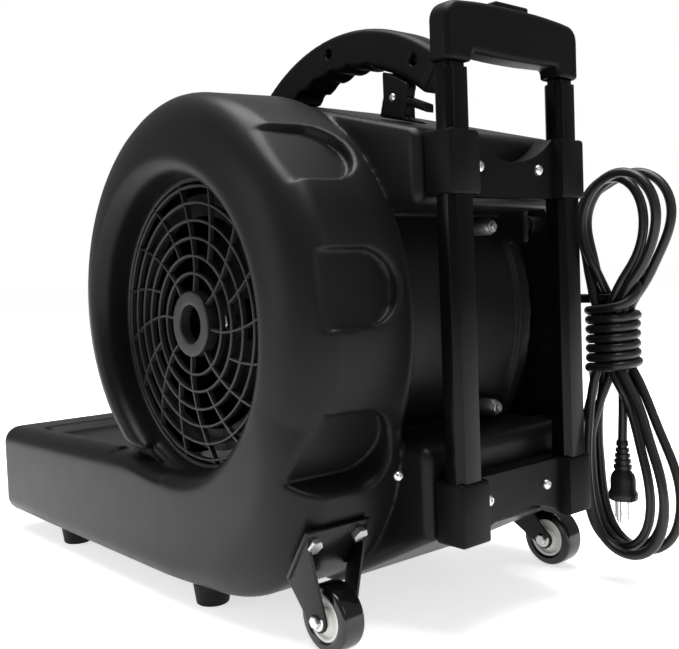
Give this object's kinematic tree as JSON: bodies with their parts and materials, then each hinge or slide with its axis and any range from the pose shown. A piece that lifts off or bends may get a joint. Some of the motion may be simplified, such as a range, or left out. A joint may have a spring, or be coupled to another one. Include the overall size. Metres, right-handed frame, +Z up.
{
  "type": "centrifugal air mover",
  "caption": "Centrifugal floor air mover: scroll housing with a round inlet grille and low outlet, telescopic pull handle, carry handle, rear casters, rubber feet and a hanked power cord.",
  "frame": {"origin": "bottom centre of the bounding box without the cord, on the floor plane", "axes": "+X out of the inlet along the fan axis, -Y out of the outlet, +Z up"},
  "size_m": [0.354, 0.677, 0.4852],
  "materials": {
    "housing_plastic": "satin moulded",
    "dark_plastic": "fine grain",
    "pale_plastic": "satin",
    "black_painted_metal": "satin black",
    "zinc_steel": "zinc plated",
    "cast_aluminium": "as cast",
    "soft_rubber": "matt",
    "tyre_rubber": "polished"
  },
  "bodies": {
    "frame": {"axle_bolt_far": "zinc_steel", "axle_bolt_near": "zinc_steel", "bearing_front": "zinc_steel", "bearing_rear": "zinc_steel", "carry_handle": "dark_plastic", "caster_bolt_far_a": "zinc_steel", "caster_bolt_far_b": "zinc_steel", "caster_bolt_near_a": "zinc_steel", "caster_bolt_near_b": "zinc_steel", "caster_bracket_far": "black_painted_metal", "caster_bracket_near": "black_painted_metal", "control_box": "housing_plastic", "cord_box": "housing_plastic", "cord_hank": "soft_rubber", "cord_hook": "dark_plastic", "cord_lead": "soft_rubber", "end_plate": "black_painted_metal", "foot_far_front": "soft_rubber", "foot_far_rear": "soft_rubber", "foot_near_front": "soft_rubber", "foot_near_rear": "soft_rubber", "handle_bracket_rear": "dark_plastic", "housing_inlet_half": "housing_plastic", "housing_motor_half": "housing_plastic", "inlet_grille": "housing_plastic", "motor_can": "cast_aluminium", "motor_cap_front": "cast_aluminium", "motor_cap_rear": "cast_aluminium", "motor_cover": "housing_plastic", "outer_tube_far": "black_painted_metal", "outer_tube_near": "black_painted_metal", "plug": "soft_rubber", "run_capacitor": "pale_plastic", "speed_switch": "dark_plastic", "standoff_front_bottom": "zinc_steel", "standoff_front_top": "zinc_steel", "standoff_rear_bottom": "zinc_steel", "standoff_rear_top": "zinc_steel", "stator": "zinc_steel", "strain_relief": "soft_rubber", "trolley_bracket_bottom": "dark_plastic", "trolley_bracket_top": "dark_plastic", "trolley_screw_bottom_far": "zinc_steel", "trolley_screw_bottom_near": "zinc_steel", "trolley_screw_top_far": "zinc_steel", "trolley_screw_top_near": "zinc_steel"},
    "fan_wheel": {"impeller": "dark_plastic", "motor_shaft": "zinc_steel", "rotor": "zinc_steel"},
    "near_wheel": {"tyre_near": "tyre_rubber", "wheel_core_near": "pale_plastic"},
    "far_wheel": {"tyre_far": "tyre_rubber", "wheel_core_far": "pale_plastic"},
    "trolley_middle": {"middle_tube_near": "black_painted_metal", "middle_tube_far": "black_painted_metal"},
    "trolley_grip": {"inner_tube_near": "black_painted_metal", "inner_tube_far": "black_painted_metal", "grip": "dark_plastic"},
    "button": {"grip_button": "dark_plastic"},
    "knob": {"speed_knob": "dark_plastic"}
  },
  "joints": [
    {"name": "fan_spin", "type": "hinge", "parent": "frame", "child": "fan_wheel", "pos_m": [0.177, 0.0788, 0.2445], "axis": [1, 0, 0], "continuous": true},
    {"name": "near_wheel_spin", "type": "hinge", "parent": "frame", "child": "near_wheel", "pos_m": [0.135, 0.2388, 0.026], "axis": [1, 0, 0], "continuous": true},
    {"name": "far_wheel_spin", "type": "hinge", "parent": "frame", "child": "far_wheel", "pos_m": [-0.145, 0.2308, 0.026], "axis": [1, 0, 0], "continuous": true},
    {"name": "handle_stage_1", "type": "slide", "parent": "frame", "child": "trolley_middle", "axis": [0, 0, 1], "range_m": [0, 0.23]},
    {"name": "handle_stage_2", "type": "slide", "parent": "trolley_middle", "child": "trolley_grip", "axis": [0, 0, 1], "range_m": [0, 0.25]},
    {"name": "grip_button_press", "type": "slide", "parent": "trolley_grip", "child": "button", "axis": [0, 0, -1], "range_m": [0, 0.004], "stiffness_N_per_m": 400},
    {"name": "speed_knob_turn", "type": "hinge", "parent": "frame", "child": "knob", "pos_m": [-0.1614, -0.0632, 0.305], "axis": [-1, 0, 0], "range_deg": [0, 120]}
  ]
}
